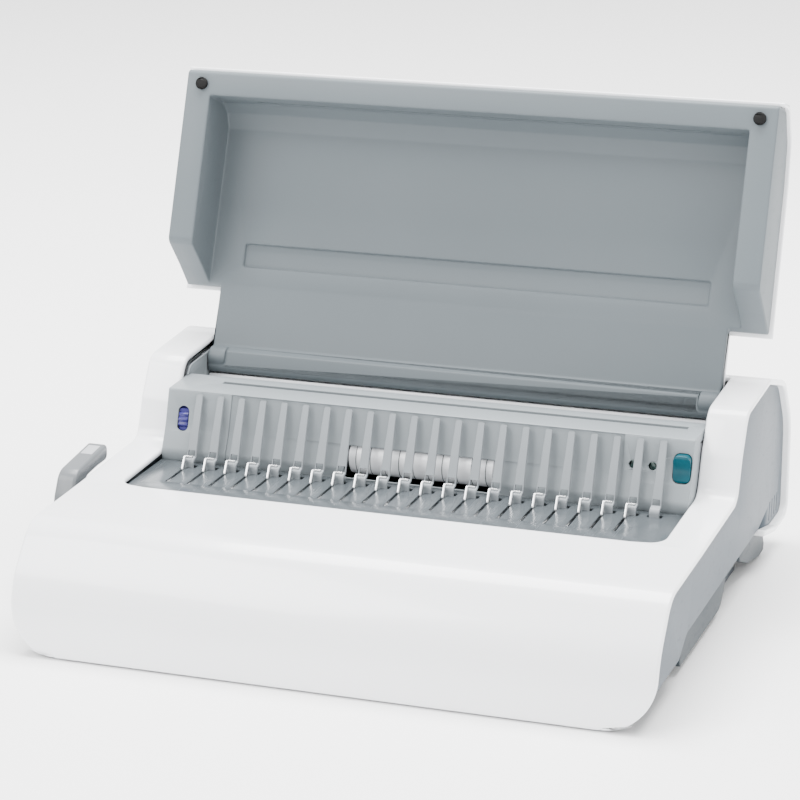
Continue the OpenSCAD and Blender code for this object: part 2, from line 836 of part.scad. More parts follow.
module mains_inlet() {
    color([0.1, 0.1, 0.1]) placed() union() {
        difference() {
            span([inlet_x - 12, 160, rear_z - 10], [inlet_x + 12, 178.4, rear_z + 10]);
            span([inlet_x - 9, 164, rear_z - 6.5], [inlet_x + 9, 190, rear_z + 6.5]);
        }
        for (x = [-5, 0, 5]) peg(1, inlet_x + x, 163, 175, rear_z + (x == 0 ? 1.8 : -1.2));
        difference() {
            span([switch_x - 7.5, 162, rear_z - 10.5], [switch_x + 7.5, 178.4, rear_z + 10.5]);
            span([switch_x - 6, 165, rear_z - 9.7], [switch_x + 6, 190, rear_z + 9.7]);
            rod(rocker_pin_r + hinge_play, switch_x - 7, switch_x + 7, rocker_y, rear_z);
        }
    }
}

// ---- lid ----

// What is cut away beside the neck so that the lid clears the towers
module lid_notch() {
    both_sides() span([lid_neck_x, 44, 60], [body_x + 1, 140, 140]);
}

module lid_tray() {
    rim_x = 177;
    outer_x = body_x - 2;
    hollow = [[-77, 60], [46, 60], [46, ceiling_z], [-62, ceiling_z], [-72, 109], [-77, 100]];
    core = [[-89, 80], [16, 80], [27, 103], [36, 130], [-89, 130]];
    front_core = [[-90.5, 80], [-80, 80], [-80, 130], [-90.5, 130]];
    color([0.66, 0.69, 0.71]) placed() opened_lid() difference() {
        union() {
            difference() {
                along_x(rounded(tray_side), -outer_x, outer_x);
                lid_notch();
            }
            along_x(rounded(tray_neck), -lid_neck_x, lid_neck_x);
            both_sides() rod(7.5, lid_neck_x - 12, lid_neck_x, hinge_y, hinge_z);
        }
        along_x(hollow, -rim_x, rim_x);
        along_x(front_core, -rim_x, rim_x);
        both_sides() {
            along_x(core, rim_x + 2.7, outer_x - 2.7);
            rod(hinge_pin_r + hinge_play, lid_neck_x - 9.5, lid_neck_x + 1, hinge_y, hinge_z);
            translate([bumper_x, bumper_y, 70]) cylinder(r = 2, h = 12);
        }
        // strip recess low in the back panel
        span([-155, 12.5, ceiling_z - 3], [155, 27.6, ceiling_z + 2.6]);
    }
}

module lid_skin() {
    color(white) placed() opened_lid() difference() {
        along_x(rounded(ribbon(skin_path, skin_t)), -body_x, body_x);
        lid_notch();
    }
}

bumper_x = 183;
bumper_y = -84;
module lid_bumpers() {
    color([0.07, 0.07, 0.07]) placed() opened_lid() both_sides()
        translate([bumper_x, bumper_y, 0]) {
            translate([0, 0, rim_z - 2.3]) cylinder(r = 4, h = 2.3);
            translate([0, 0, rim_z - 0.1]) cylinder(r = 2, h = 4);
        }
}

module hinge_pins() {
    color(steel) placed() both_sides()
        rod(hinge_pin_r, lid_neck_x - 8.5, frame_x + frame_t + 2, hinge_y, hinge_z);
}

// ---- chip tray ----

module chip_tray() {
    x0 = tray_x1 - tray_l;
    wall = 2;
    side = [[tray_front_y, tray_z, 3], [28, tray_z, 12], [tray_rear_y, 16, 8],
            [tray_rear_y, tray_z + tray_h, 2], [tray_front_y, tray_z + tray_h, 2]];
    inner = [[tray_front_y + wall, tray_z + wall, 2], [27, tray_z + wall, 10],
             [tray_rear_y - wall, 17, 6], [tray_rear_y - wall, 60, 0], [tray_front_y + wall, 60, 0]];
    color(base_grey) placed() difference() {
        along_x(rounded(side), x0, tray_x1);
        along_x(rounded(inner), x0 + wall, tray_x1 - 3);
    }
}

top_cover();
side_panel_left();
side_panel_right();
base_shell();
rubber_feet();
deck_plate();
fascia();
rear_trough();
comb_tines();
hook_slider();
slider_guides();
comb_lever();
lever_pad();
lever_shaft();
lever_pinions();
side_frame_left();
side_frame_right();
shaft_bushes();
die_block();
punch_pins();
punch_bar();
cam_shaft();
punch_cams();
cam_gear();
drive_motor();
motor_pinion();
wheel_shaft();
shaft_brackets();
thumbwheel();
roller_axle();
scale_roller();
edge_guide();
punch_button();
button_switch();
lamp_lenses();
control_board();
power_board();
power_switch();
mains_inlet();
lid_tray();
lid_skin();
lid_bumpers();
hinge_pins();
chip_tray();
cover_screws();
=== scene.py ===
"""Finishes and detail for the electric comb binding machine.

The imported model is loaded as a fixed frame. Operators then build a softer or finer piece for
each part that is seen, give every part its finish, and set up the floor, lights and camera.
"""

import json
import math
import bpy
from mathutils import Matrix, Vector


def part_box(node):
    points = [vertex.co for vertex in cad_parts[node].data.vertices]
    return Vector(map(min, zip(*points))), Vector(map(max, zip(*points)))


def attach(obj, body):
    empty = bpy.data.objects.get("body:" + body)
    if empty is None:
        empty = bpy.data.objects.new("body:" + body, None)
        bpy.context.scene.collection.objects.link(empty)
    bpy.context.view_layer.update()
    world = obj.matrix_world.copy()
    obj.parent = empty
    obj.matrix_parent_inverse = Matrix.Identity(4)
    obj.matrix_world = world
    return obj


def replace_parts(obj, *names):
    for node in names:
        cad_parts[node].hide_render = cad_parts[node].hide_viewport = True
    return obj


bl_info = {
    "name": "Comb Binder Finishes",
    "version": (1, 0, 0),
    "blender": (4, 5, 0),
    "location": "View3D > Sidebar > Binder",
    "description": "Builds the seen pieces, finishes and studio of a comb binding machine",
    "category": "Object",
}

import bmesh
import bpy
from bpy.props import FloatProperty, FloatVectorProperty, IntProperty, PointerProperty
from bpy.types import Operator, Panel, PropertyGroup
from mathutils import Matrix, Vector

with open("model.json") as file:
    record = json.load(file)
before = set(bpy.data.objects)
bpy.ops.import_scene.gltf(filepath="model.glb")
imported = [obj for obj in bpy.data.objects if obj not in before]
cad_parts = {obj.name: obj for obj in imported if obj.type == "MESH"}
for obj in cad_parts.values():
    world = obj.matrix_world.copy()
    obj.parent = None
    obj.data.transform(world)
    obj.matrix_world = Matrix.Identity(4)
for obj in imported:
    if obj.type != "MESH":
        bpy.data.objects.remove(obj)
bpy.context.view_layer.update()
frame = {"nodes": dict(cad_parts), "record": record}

MM = 0.001
SLOTS = {part["node"]: part["material_slot"] for part in frame["record"]["subparts"]}

# The body's middle is X 0, and Y 0 is the line of the hooks, 165 mm behind the front lip
COVER_LOW, COVER_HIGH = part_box("top_cover")
MIDDLE_X = (COVER_LOW[0] + COVER_HIGH[0]) / 2
HOOK_LINE_Y = COVER_LOW[1] + 165 * MM
TINE_PITCH = 14.2875
TINE_COUNT = 22
TINE_SHIFT = 2.4


def at(x, y, z):
    """A point given in millimetres from the body's middle, the hook line and the table."""
    return Vector((MIDDLE_X + x * MM, HOOK_LINE_Y + y * MM, z * MM))


HINGE = at(0, 88, 115)
LID_OPEN = math.radians(112)

# Scale roller and punch button: centres and sizes in millimetres
ROLLER_Y, ROLLER_Z, ROLLER_R, ROLLER_L = 24.5, 80, 11, 94
AXLE_R = 2.5
BUTTON_X, BUTTON_Z = 164.2, 95.5


# ---- settings ----


class BinderSizes(PropertyGroup):
    """Sizes that change how soft or fine the pieces look."""

    cover_edge: FloatProperty(
        name="Cover edge", description="Rounding of the white cover's edges",
        default=1.7 * MM, unit="LENGTH")
    lid_edge: FloatProperty(
        name="Lid edge", description="Rounding of the lid tray's edges",
        default=1.3 * MM, unit="LENGTH")
    thin_edge: FloatProperty(
        name="Thin edge", description="Rounding on thin walls and small parts",
        default=0.35 * MM, unit="LENGTH")
    lever_edge: FloatProperty(
        name="Lever edge", description="Rounding of the comb lever's edges",
        default=2.0 * MM, unit="LENGTH")
    tine_width: FloatProperty(
        name="Tine width", description="Width of a comb tine at its foot",
        default=6.2 * MM, unit="LENGTH")
    tine_tip: FloatProperty(
        name="Tine tip", description="Width of a comb tine at its tip",
        default=4.2 * MM, unit="LENGTH")
    tine_thickness: FloatProperty(
        name="Tine thickness", description="Thickness of a comb tine",
        default=1.6 * MM, unit="LENGTH")
    tine_rows: IntProperty(
        name="Tine rows", description="Mesh rows along one tine", default=44, min=20, max=80)
    floor_size: FloatProperty(
        name="Floor size", description="Side of the studio floor", default=14.0, unit="LENGTH")


class BinderColours(PropertyGroup):
    """Base colours of the finishes, linear RGB."""

    white: FloatVectorProperty(
        name="Cover white", description="Glossy white plastic", subtype="COLOR",
        size=3, default=(0.90, 0.91, 0.93))
    panel: FloatVectorProperty(
        name="Panel grey", description="Blue-grey side panels", subtype="COLOR",
        size=3, default=(0.064, 0.082, 0.100))
    base: FloatVectorProperty(
        name="Base grey", description="Base and chip tray", subtype="COLOR",
        size=3, default=(0.038, 0.050, 0.058))
    deck: FloatVectorProperty(
        name="Deck grey", description="Painted deck plate", subtype="COLOR",
        size=3, default=(0.082, 0.095, 0.104))
    fascia: FloatVectorProperty(
        name="Fascia grey", description="Wall behind the tines", subtype="COLOR",
        size=3, default=(0.225, 0.250, 0.264))
    lid: FloatVectorProperty(
        name="Lid grey", description="Inside of the lid", subtype="COLOR",
        size=3, default=(0.112, 0.131, 0.142))
    tine: FloatVectorProperty(
        name="Tine grey", description="Comb tines", subtype="COLOR",
        size=3, default=(0.22, 0.24, 0.255))
    lever: FloatVectorProperty(
        name="Lever grey", description="Comb lever", subtype="COLOR",
        size=3, default=(0.125, 0.134, 0.142))
    pad: FloatVectorProperty(
        name="Pad grey", description="Inset on the lever", subtype="COLOR",
        size=3, default=(0.38, 0.39, 0.41))
    wheel: FloatVectorProperty(
        name="Thumbwheel violet", description="Edge guide thumbwheel", subtype="COLOR",
        size=3, default=(0.030, 0.026, 0.145))
    button: FloatVectorProperty(
        name="Button teal", description="Punch button", subtype="COLOR",
        size=3, default=(0.0, 0.055, 0.075))


# ---- finishes ----


class Value:
    """One socket of a material. Arithmetic on it adds Math nodes."""

    def __init__(self, finish, socket):
        self.finish = finish
        self.socket = socket

    def math(self, operation, first, second=0.0):
        return self.finish.node("ShaderNodeMath", {"operation": operation},
                                {0: first, 1: second})

    def __add__(self, other):
        return self.math("ADD", self, other)

    def __radd__(self, other):
        return self.math("ADD", other, self)

    def __sub__(self, other):
        return self.math("SUBTRACT", self, other)

    def __rsub__(self, other):
        return self.math("SUBTRACT", other, self)

    def __mul__(self, other):
        return self.math("MULTIPLY", self, other)

    def __rmul__(self, other):
        return self.math("MULTIPLY", other, self)


class Finish:
    """A procedural material, built on one Principled shader."""

    def __init__(self, name, roughness=0.5, metallic=0.0):
        self.material = bpy.data.materials.new(name)
        self.material.use_nodes = True
        self.tree = self.material.node_tree
        self.shader = self.tree.nodes["Principled BSDF"]
        self.shader.inputs["Roughness"].default_value = roughness
        self.shader.inputs["Metallic"].default_value = metallic
        self.coordinates = self.node("ShaderNodeTexCoord", {}, {}, "Object")

    def node(self, kind, settings, sockets, output=0):
        """Adds a node: its settings first, then its sockets' values or links."""
        made = self.tree.nodes.new(kind)
        for key, value in settings.items():
            setattr(made, key, value)
        for key, value in sockets.items():
            if isinstance(value, Value):
                self.tree.links.new(value.socket, made.inputs[key])
            else:
                made.inputs[key].default_value = value
        return Value(self, made.outputs[output])

    def scaled(self, x, y, z):
        """Object coordinates stretched by x, y and z, in repeats per metre."""
        return self.node("ShaderNodeMapping", {}, {"Vector": self.coordinates,
                                                   "Scale": (x, y, z)})

    def noise(self, vector, scale, detail=2.0, roughness=0.5):
        return self.node("ShaderNodeTexNoise", {}, {"Vector": vector, "Scale": scale,
                                                    "Detail": detail, "Roughness": roughness})

    def spread(self, value, low, high, to_low=0.0, to_high=1.0):
        return self.node("ShaderNodeMapRange", {}, {"Value": value, "From Min": low,
                                                    "From Max": high, "To Min": to_low,
                                                    "To Max": to_high})

    def blend(self, factor, first, second):
        """Mixes two colours, each an RGB triple or a Value."""
        first, second = [c if isinstance(c, Value) else (*c, 1.0) for c in (first, second)]
        return self.node("ShaderNodeMix", {"data_type": "RGBA"},
                         {0: factor, 6: first, 7: second}, 2)

    def feed(self, name, value):
        self.tree.links.new(value.socket, self.shader.inputs[name])

    def bump(self, height, depth, strength=1.0):
        """Height 0 to 1 stands for a depth in metres."""
        self.feed("Normal", self.node("ShaderNodeBump", {}, {"Height": height, "Distance": depth,
                                                             "Strength": strength}, "Normal"))

    def fixed(self, name, value):
        self.shader.inputs[name].default_value = value


def tinted(colour, factor):
    return tuple(min(1.0, c * factor) for c in colour)


def moulded(name, colour, roughness, grain, depth, coat=0.0):
    """Moulded plastic: a fine etched grain, a slow drift in tone and faint handling marks."""
    f = Finish(name)
    etched = f.noise(f.coordinates, 1 / grain, 3.0, 0.6)
    drift = f.noise(f.coordinates, 9.0, 3.0)
    marks = f.spread(f.noise(f.scaled(40, 40, 90), 3.0, 6.0, 0.7), 0.56, 0.72)
    tone = f.blend(f.spread(drift, 0.3, 0.7), tinted(colour, 0.965), tinted(colour, 1.035))
    speck = f.spread(etched, 0.35, 0.65, 0.0, 0.10)
    f.feed("Base Color", f.blend(speck, tone, tinted(colour, 0.80)))
    f.feed("Roughness", roughness + 0.10 * marks + f.spread(drift, 0.3, 0.7, -0.03, 0.03))
    f.bump(etched, depth)
    f.fixed("Coat Weight", coat)
    f.fixed("Coat Roughness", 0.12)
    f.fixed("Specular IOR Level", 0.22)
    return f.material


def gloss_white(colour):
    """Polished white shell: barely waved by the mould, with fine wipe marks in its gloss."""
    f = Finish("white_gloss")
    wave = f.noise(f.coordinates, 55.0, 2.0)
    peel = f.noise(f.coordinates, 900.0, 2.0)
    drift = f.noise(f.coordinates, 5.0, 3.0)
    wipes = f.spread(f.noise(f.scaled(25, 160, 160), 3.0, 5.0, 0.7), 0.5, 0.75)
    f.feed("Base Color", f.blend(f.spread(drift, 0.35, 0.65), tinted(colour, 0.985), colour))
    f.feed("Roughness", 0.16 + 0.10 * wipes + f.spread(peel, 0.3, 0.7, 0.0, 0.03))
    f.bump(wave * 0.7 + peel * 0.3, 0.00006)
    f.fixed("Coat Weight", 0.35)
    f.fixed("Coat Roughness", 0.05)
    return f.material


def brushed(name, colour, roughness, metallic=1.0, along=(30, 1400, 1400)):
    """Metal brushed along one axis, with a mottled sheen and rare dark specks."""
    f = Finish(name, metallic=metallic)
    lines = f.noise(f.scaled(*along), 1.0, 4.0, 0.65)
    cloud = f.noise(f.coordinates, 60.0, 3.0)
    specks = f.spread(f.noise(f.coordinates, 700.0, 2.0), 0.66, 0.74)
    tone = f.blend(f.spread(lines, 0.3, 0.7), tinted(colour, 0.86), tinted(colour, 1.08))
    f.feed("Base Color", f.blend(specks * 0.35, tone, tinted(colour, 0.45)))
    f.feed("Roughness", roughness + f.spread(cloud, 0.3, 0.7, -0.05, 0.07) + 0.06 * lines)
    f.bump(lines, 0.00002)
    return f.material


def painted_deck(colour):
    """Smooth painted sheet: semi-gloss, with a fine speckle and rubbed lines along Y."""
    f = Finish("deck_grey")
    speckle = f.noise(f.coordinates, 1700.0, 2.0)
    drift = f.noise(f.coordinates, 14.0, 3.0)
    rubbed = f.spread(f.noise(f.scaled(500, 18, 40), 1.0, 4.0, 0.6), 0.52, 0.75)
    tone = f.blend(f.spread(speckle, 0.35, 0.65), tinted(colour, 0.93), tinted(colour, 1.06))
    f.feed("Base Color", f.blend(rubbed * 0.16, tone, tinted(colour, 1.25)))
    f.feed("Roughness", 0.20 + f.spread(drift, 0.3, 0.7, 0.0, 0.06) + 0.08 * rubbed)
    f.bump(speckle, 0.00001)
    f.fixed("Coat Weight", 0.3)
    f.fixed("Coat Roughness", 0.15)
    f.fixed("Metallic", 0.25)
    return f.material


def rubber():
    f = Finish("black_rubber")
    grain = f.noise(f.coordinates, 1500.0, 3.0)
    bloom = f.spread(f.noise(f.coordinates, 90.0, 4.0), 0.45, 0.7)
    f.feed("Base Color", f.blend(bloom * 0.5, (0.004, 0.004, 0.004), (0.012, 0.012, 0.013)))
    f.feed("Roughness", 0.55 + 0.2 * bloom)
    f.bump(grain, 0.00003)
    f.fixed("Specular IOR Level", 0.15)
    return f.material


def clear_tinted(name, colour, roughness=0.22):
    """Coloured plastic, a little cloudy in depth, under a thin glossy coat."""
    f = Finish(name)
    depth = f.noise(f.coordinates, 160.0, 3.0)
    fine = f.noise(f.coordinates, 1600.0, 2.0)
    f.feed("Base Color", f.blend(f.spread(depth, 0.3, 0.7), tinted(colour, 0.85),
                                 tinted(colour, 1.15)))
    f.feed("Roughness", roughness + f.spread(fine, 0.3, 0.7, 0.0, 0.08))
    f.bump(fine, 0.00001)
    f.fixed("Coat Weight", 0.12)
    f.fixed("Coat Roughness", 0.08)
    f.fixed("Specular IOR Level", 0.2)
    return f.material


def lamp_glass():
    f = Finish("lamp_dark", roughness=0.08)
    swirl = f.noise(f.coordinates, 400.0, 2.0)
    f.feed("Base Color", f.blend(f.spread(swirl, 0.35, 0.65), (0.004, 0.010, 0.009),
                                 (0.012, 0.035, 0.030)))
    f.feed("Roughness", 0.06 + f.spread(swirl, 0.3, 0.7, 0.0, 0.06))
    f.fixed("Coat Weight", 0.3)
    f.fixed("Specular IOR Level", 0.3)
    return f.material


def circuit_board():
    """Green board: tracks in a lighter green between dull tinned pads."""
    f = Finish("board_green")
    tracks = f.node("ShaderNodeTexWave", {"wave_type": "BANDS", "bands_direction": "DIAGONAL"},
                    {"Vector": f.coordinates, "Scale": 180.0, "Distortion": 3.0, "Detail": 1.0})
    pads = f.node("ShaderNodeTexVoronoi", {}, {"Vector": f.coordinates, "Scale": 190.0},
                  "Distance")
    is_pad = f.spread(pads, 0.22, 0.18)
    green = f.blend(f.spread(tracks, 0.45, 0.55), (0.01, 0.09, 0.03), (0.02, 0.16, 0.05))
    f.feed("Base Color", f.blend(is_pad, green, (0.55, 0.55, 0.52)))
    f.feed("Metallic", is_pad * 0.9)
    f.feed("Roughness", 0.45 - 0.12 * is_pad)
    f.bump(is_pad, 0.00008)
    return f.material


def floor_paper(tone):
    f = Finish("studio_floor")
    fibre = f.noise(f.coordinates, 260.0, 4.0)
    broad = f.noise(f.coordinates, 1.5, 2.0)
    f.feed("Base Color", f.blend(f.spread(broad, 0.3, 0.7), tinted(tone, 0.985), tone))
    f.feed("Roughness", 0.50 + f.spread(fibre, 0.3, 0.7, 0.0, 0.06))
    return f.material


FINISHES = {}


def make_finishes(c):
    """One material for each slot of the record."""
    FINISHES.update({
        "white_gloss": gloss_white(c.white),
        "panel_grey": moulded("panel_grey", c.panel, 0.42, 0.45 * MM, 0.03 * MM),
        "base_grey": moulded("base_grey", c.base, 0.48, 0.55 * MM, 0.04 * MM),
        "black_rubber": rubber(),
        "deck_grey": painted_deck(c.deck),
        "light_grey": moulded("light_grey", c.fascia, 0.38, 0.5 * MM, 0.03 * MM),
        "tine_silver": moulded("tine_silver", c.tine, 0.34, 0.35 * MM, 0.06 * MM),
        "bright_steel": brushed("bright_steel", (0.80, 0.81, 0.82), 0.20),
        "steel": brushed("steel", (0.52, 0.53, 0.55), 0.32),
        "lever_grey": moulded("lever_grey", c.lever, 0.30, 0.6 * MM, 0.015 * MM, 0.25),
        "pad_grey": moulded("pad_grey", c.pad, 0.36, 0.4 * MM, 0.03 * MM),
        "brass": brushed("brass", (0.72, 0.52, 0.22), 0.28),
        "motor_black": brushed("motor_black", (0.06, 0.065, 0.07), 0.42, 0.6),
        "wheel_violet": clear_tinted("wheel_violet", c.wheel),
        "button_teal": clear_tinted("button_teal", c.button, 0.30),
        "lamp_dark": lamp_glass(),
        "board_green": circuit_board(),
        "lid_grey": moulded("lid_grey", c.lid, 0.46, 0.6 * MM, 0.035 * MM),
    })


# ---- making meshes ----


def new_piece(name, mesh, slot, body):
    """Links a mesh as a piece at the origin, with its finish, and lets it ride on its body."""
    mesh.materials.clear()
    mesh.materials.append(FINISHES[slot])
    piece = bpy.data.objects.new(name, mesh)
    bpy.context.scene.collection.objects.link(piece)
    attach(piece, body)
    return piece


def plain_mesh(source, name):
    """The evaluated mesh of an object, with its modifiers applied. The object is removed."""
    bpy.context.view_layer.update()
    done = bpy.data.meshes.new_from_object(source.evaluated_get(
        bpy.context.evaluated_depsgraph_get()))
    done.name = name
    old = source.data
    bpy.data.objects.remove(source)
    if old is not None and old.users == 0:
        bpy.data.meshes.remove(old)
    return done


def softened(mesh, name, width, segments=3, angle=34, crease=40):
    """Rounds a mesh's sharp edges and shades it smooth."""
    carrier = bpy.data.objects.new(name, mesh)
    bpy.context.scene.collection.objects.link(carrier)
    bevel = carrier.modifiers.new("Soft edges", "BEVEL")
    bevel.width = width
    bevel.segments = segments
    bevel.limit_method = "ANGLE"
    bevel.angle_limit = math.radians(angle)
    bevel.use_clamp_overlap = False
    bevel.miter_outer = "MITER_ARC"
    bevel.harden_normals = False
    done = plain_mesh(carrier, name)
    done.shade_smooth()
    done.set_sharp_from_angle(angle=math.radians(crease))
    return done


def merged_copy(node, name):
    """A CAD node's mesh, joined up."""
    bm = bmesh.new()
    bm.from_mesh(frame["nodes"][node].data)
    bmesh.ops.remove_doubles(bm, verts=bm.verts, dist=0.02 * MM)
    mesh = bpy.data.meshes.new(name)
    bm.to_mesh(mesh)
    bm.free()
    return mesh


def soft_copy(node, name, body, width, segments=3, angle=34, crease=40):
    """Stands a soft-edged piece in for a CAD node."""
    mesh = softened(merged_copy(node, name), name, width, segments, angle, crease)
    piece = new_piece(name, mesh, SLOTS[node], body)
    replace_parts(piece, node)
    return piece


def repeat_tree():
    """Geometry Nodes: copies an object along a line, as one real mesh with one material."""
    tree = bpy.data.node_groups.new("Row of copies", "GeometryNodeTree")
    face = tree.interface
    for name, kind in (("Unit", "NodeSocketObject"), ("Count", "NodeSocketInt"),
                       ("Start", "NodeSocketVector"), ("Step", "NodeSocketVector"),
                       ("Finish", "NodeSocketMaterial")):
        face.new_socket(name=name, in_out="INPUT", socket_type=kind)
    face.new_socket(name="Geometry", in_out="OUTPUT", socket_type="NodeSocketGeometry")
    start = tree.nodes.new("NodeGroupInput")
    line = tree.nodes.new("GeometryNodeMeshLine")
    unit = tree.nodes.new("GeometryNodeObjectInfo")
    copies = tree.nodes.new("GeometryNodeInstanceOnPoints")
    real = tree.nodes.new("GeometryNodeRealizeInstances")
    paint = tree.nodes.new("GeometryNodeSetMaterial")
    end = tree.nodes.new("NodeGroupOutput")
    line.mode = "OFFSET"
    join = tree.links.new
    join(start.outputs["Unit"], unit.inputs["Object"])
    join(start.outputs["Count"], line.inputs["Count"])
    join(start.outputs["Start"], line.inputs["Start Location"])
    join(start.outputs["Step"], line.inputs["Offset"])
    join(line.outputs["Mesh"], copies.inputs["Points"])
    join(unit.outputs["Geometry"], copies.inputs["Instance"])
    join(copies.outputs["Instances"], real.inputs["Geometry"])
    join(real.outputs["Geometry"], paint.inputs["Geometry"])
    join(start.outputs["Finish"], paint.inputs["Material"])
    join(paint.outputs["Geometry"], end.inputs["Geometry"])
    return tree


def row_of(mesh, name, count, start, step, slot):
    """One plain mesh of count copies, from start by step, both in metres."""
    tree = bpy.data.node_groups.get("Row of copies") or repeat_tree()
    unit = bpy.data.objects.new(name + "_unit", mesh)
    bpy.context.scene.collection.objects.link(unit)
    carrier = bpy.data.objects.new(name, bpy.data.meshes.new(name))
    bpy.context.scene.collection.objects.link(carrier)
    row = carrier.modifiers.new("Row", "NODES")
    row.node_group = tree
    given = {"Unit": unit, "Count": count, "Start": tuple(start), "Step": tuple(step),
             "Finish": FINISHES[slot]}
    for item in tree.interface.items_tree:
        if item.in_out == "INPUT":
            row[item.identifier] = given[item.name]
    done = plain_mesh(carrier, name)
    bpy.data.objects.remove(unit)
    return done


def joined(meshes, name):
    """One mesh from several."""
    bm = bmesh.new()
    for mesh in meshes:
        bm.from_mesh(mesh)
    done = bpy.data.meshes.new(name)
    bm.to_mesh(done)
    bm.free()
    return done


def prism(outline, depth, name):
    """A solid from an outline of points in one plane, pushed along the vector depth."""
    bm = bmesh.new()
    low = [bm.verts.new(p) for p in outline]
    high = [bm.verts.new(Vector(p) + Vector(depth)) for p in outline]
    count = len(outline)
    bm.faces.new(low)
    bm.faces.new(reversed(high))
    for i in range(count):
        j = (i + 1) % count
        bm.faces.new((low[j], low[i], high[i], high[j]))
    bmesh.ops.recalc_face_normals(bm, faces=bm.faces)
    mesh = bpy.data.meshes.new(name)
    bm.to_mesh(mesh)
    bm.free()
    return mesh


def turned(profile, centre, axis, name, segments=64):
    """A round solid: profile is (radius, distance along the axis) pairs, closed at its ends."""
    axis = Vector(axis).normalized()
    side = axis.orthogonal().normalized()
    other = axis.cross(side)
    bm = bmesh.new()
    rings = []
    for radius, along in profile:
        middle = Vector(centre) + axis * along
        rings.append([bm.verts.new(middle + radius * (math.cos(a) * side + math.sin(a) * other))
                      for a in (math.tau * i / segments for i in range(segments))])
    for ring, after in zip(rings, rings[1:]):
        for i in range(segments):
            j = (i + 1) % segments
            bm.faces.new((ring[i], ring[j], after[j], after[i]))
    bm.faces.new(rings[0])
    bm.faces.new(rings[-1])
    bmesh.ops.remove_doubles(bm, verts=bm.verts, dist=1e-7)
    bmesh.ops.recalc_face_normals(bm, faces=bm.faces)
    mesh = bpy.data.meshes.new(name)
    bm.to_mesh(mesh)
    bm.free()
    mesh.shade_smooth()
    mesh.set_sharp_from_angle(angle=math.radians(40))
    return mesh


def rounded_box(low, high, width, name, segments=3):
    """A box between two corners, with rounded edges."""
    (x0, y0, z0), (x1, y1, z1) = low, high
    outline = [(x0, y0, z0), (x0, y1, z0), (x0, y1, z1), (x0, y0, z1)]
    return softened(prism(outline, (x1 - x0, 0, 0), name), name, width, segments)


def rounded_path(corners, steps=6, closed=False):
    """Points of a path whose corners (y, z, radius) are rounded by arcs."""
    points = []
    for i, (y, z, radius) in enumerate(corners):
        here = Vector((y, z))
        if radius <= 0 or not closed and i in (0, len(corners) - 1):
            points.append(here)
            continue
        before = (Vector(corners[i - 1][:2]) - here).normalized()
        after = (Vector(corners[(i + 1) % len(corners)][:2]) - here).normalized()
        half = before.angle(after) / 2
        middle = here + (before + after).normalized() * radius / math.sin(half)
        first = here + before * radius / math.tan(half) - middle
        turn = (here + after * radius / math.tan(half) - middle).angle_signed(first)
        for k in range(steps + 1):
            a = turn * k / steps
            points.append(middle + Vector((first.x * math.cos(a) - first.y * math.sin(a),
                                           first.x * math.sin(a) + first.y * math.cos(a))))
    return points


def block(corners, x0, x1, name, steps=8):
    """A solid along X, in millimetres, from a closed Y-Z outline of (y, z, radius) corners."""
    outline = [at(x0, y, z) for y, z in rounded_path(corners, steps, closed=True)]
    return prism(outline, ((x1 - x0) * MM, 0, 0), name)


def slab(low, high, name):
    """A plain box between two corners in millimetres, for cutting and joining."""
    (x0, y0, z0), (x1, y1, z1) = low, high
    return block([(y0, z0, 0), (y1, z0, 0), (y1, z1, 0), (y0, z1, 0)], x0, x1, name)


def combined(mesh, other, operation="DIFFERENCE"):
    """Cuts a closed mesh with another, or joins the two. Both are used up."""
    carrier = bpy.data.objects.new(mesh.name, mesh)
    tool = bpy.data.objects.new("tool", other)
    for item in (carrier, tool):
        bpy.context.scene.collection.objects.link(item)
    change = carrier.modifiers.new("Combine", "BOOLEAN")
    change.operation = operation
    change.object = tool
    change.solver = "EXACT"
    done = plain_mesh(carrier, mesh.name)
    bpy.data.objects.remove(tool)
    return done


def opened(mesh):
    """Turns a mesh made in the closed lid's place to where the lid stands open."""
    mesh.transform(Matrix.Translation(HINGE) @ Matrix.Rotation(-LID_OPEN, 4, "X")
                   @ Matrix.Translation(-HINGE))
    return mesh


def creased(mesh, angle=35):
    mesh.shade_smooth()
    mesh.set_sharp_from_angle(angle=math.radians(angle))
    return mesh


